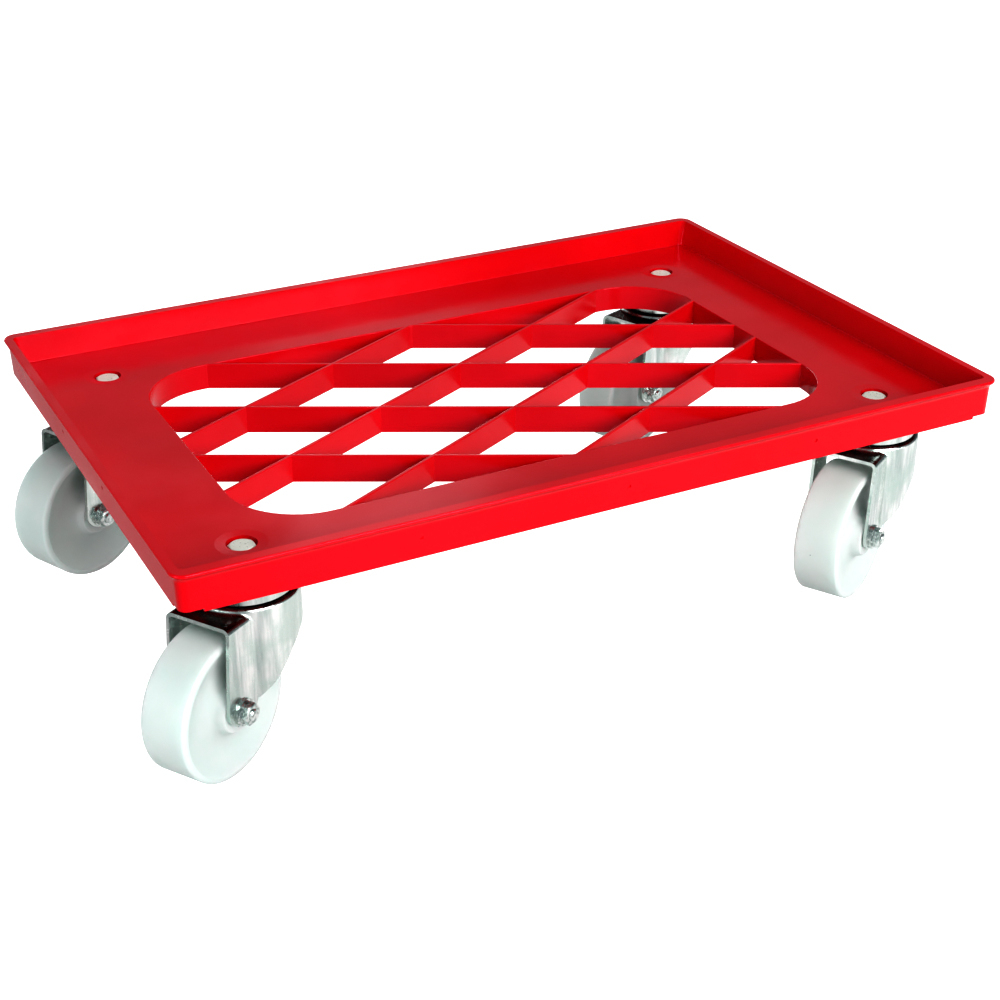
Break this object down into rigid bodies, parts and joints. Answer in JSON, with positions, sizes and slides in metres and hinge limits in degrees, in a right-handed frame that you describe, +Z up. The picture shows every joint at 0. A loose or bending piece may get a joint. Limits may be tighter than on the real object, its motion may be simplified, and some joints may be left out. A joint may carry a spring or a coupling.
{
  "type": "book box dolly",
  "caption": "Low moulded dolly with a rimmed seat for a 600 x 400 mm box, a diamond lattice deck and swivel castors with rigid wheels.",
  "frame": {"origin": "on the floor, under the middle of the deck", "axes": "+X along the long side, +Y along the short side, +Z up"},
  "size_m": [0.6448, 0.4203, 0.167],
  "materials": {
    "deck_plastic": "moulded, semi-gloss",
    "zinc": "bright zinc plate on pressed sheet",
    "bolt_zinc": "zinc plated fastener",
    "ball_steel": "polished",
    "nylon": "natural polyamide, slightly translucent",
    "washer_nylon": "satin"
  },
  "bodies": {
    "deck": {"deck_moulding": "deck_plastic", "king_washers": "bolt_zinc", "near_left_king_bolt": "bolt_zinc", "near_left_king_nut": "bolt_zinc", "near_left_head_ring": "zinc", "near_left_upper_balls": "ball_steel", "near_left_lower_balls": "ball_steel", "near_left_lower_race": "zinc", "near_left_kingpin": "zinc", "near_right_king_bolt": "bolt_zinc", "near_right_king_nut": "bolt_zinc", "near_right_head_ring": "zinc", "near_right_upper_balls": "ball_steel", "near_right_lower_balls": "ball_steel", "near_right_lower_race": "zinc", "near_right_kingpin": "zinc", "far_right_king_bolt": "bolt_zinc", "far_right_king_nut": "bolt_zinc", "far_right_head_ring": "zinc", "far_right_upper_balls": "ball_steel", "far_right_lower_balls": "ball_steel", "far_right_lower_race": "zinc", "far_right_kingpin": "zinc", "far_left_king_bolt": "bolt_zinc", "far_left_king_nut": "bolt_zinc", "far_left_head_ring": "zinc", "far_left_upper_balls": "ball_steel", "far_left_lower_balls": "ball_steel", "far_left_lower_race": "zinc", "far_left_kingpin": "zinc"},
    "near_left_castor": {"near_left_fork": "zinc", "near_left_axle_tube": "bolt_zinc", "near_left_axle_bolt": "bolt_zinc", "near_left_axle_washers": "bolt_zinc", "near_left_axle_nut": "bolt_zinc", "near_left_thrust_washers": "washer_nylon"},
    "near_left_rolling_wheel": {"near_left_wheel": "nylon"},
    "near_right_castor": {"near_right_fork": "zinc", "near_right_axle_tube": "bolt_zinc", "near_right_axle_bolt": "bolt_zinc", "near_right_axle_washers": "bolt_zinc", "near_right_axle_nut": "bolt_zinc", "near_right_thrust_washers": "washer_nylon"},
    "near_right_rolling_wheel": {"near_right_wheel": "nylon"},
    "far_right_castor": {"far_right_fork": "zinc", "far_right_axle_tube": "bolt_zinc", "far_right_axle_bolt": "bolt_zinc", "far_right_axle_washers": "bolt_zinc", "far_right_axle_nut": "bolt_zinc", "far_right_thrust_washers": "washer_nylon"},
    "far_right_rolling_wheel": {"far_right_wheel": "nylon"},
    "far_left_castor": {"far_left_fork": "zinc", "far_left_axle_tube": "bolt_zinc", "far_left_axle_bolt": "bolt_zinc", "far_left_axle_washers": "bolt_zinc", "far_left_axle_nut": "bolt_zinc", "far_left_thrust_washers": "washer_nylon"},
    "far_left_rolling_wheel": {"far_left_wheel": "nylon"}
  },
  "joints": [
    {"name": "near_left_swivel", "type": "hinge", "parent": "deck", "child": "near_left_castor", "pos_m": [-0.247, -0.148, 0.112], "axis": [0, 0, 1], "continuous": true},
    {"name": "near_left_roll", "type": "hinge", "parent": "near_left_castor", "child": "near_left_rolling_wheel", "pos_m": [-0.2807, -0.16955, 0.05], "axis": [0.5388, -0.8425, 0], "continuous": true},
    {"name": "near_right_swivel", "type": "hinge", "parent": "deck", "child": "near_right_castor", "pos_m": [0.247, -0.148, 0.112], "axis": [0, 0, 1], "continuous": true},
    {"name": "near_right_roll", "type": "hinge", "parent": "near_right_castor", "child": "near_right_rolling_wheel", "pos_m": [0.21243, -0.16812, 0.05], "axis": [0.503, -0.8643, 0], "continuous": true},
    {"name": "far_right_swivel", "type": "hinge", "parent": "deck", "child": "far_right_castor", "pos_m": [0.247, 0.148, 0.112], "axis": [0, 0, 1], "continuous": true},
    {"name": "far_right_roll", "type": "hinge", "parent": "far_right_castor", "child": "far_right_rolling_wheel", "pos_m": [0.20966, 0.13367, 0.05], "axis": [0.3584, -0.9336, 0], "continuous": true},
    {"name": "far_left_swivel", "type": "hinge", "parent": "deck", "child": "far_left_castor", "pos_m": [-0.247, 0.148, 0.112], "axis": [0, 0, 1], "continuous": true},
    {"name": "far_left_roll", "type": "hinge", "parent": "far_left_castor", "child": "far_left_rolling_wheel", "pos_m": [-0.28304, 0.13065, 0.05], "axis": [0.4337, -0.9011, 0], "continuous": true}
  ]
}
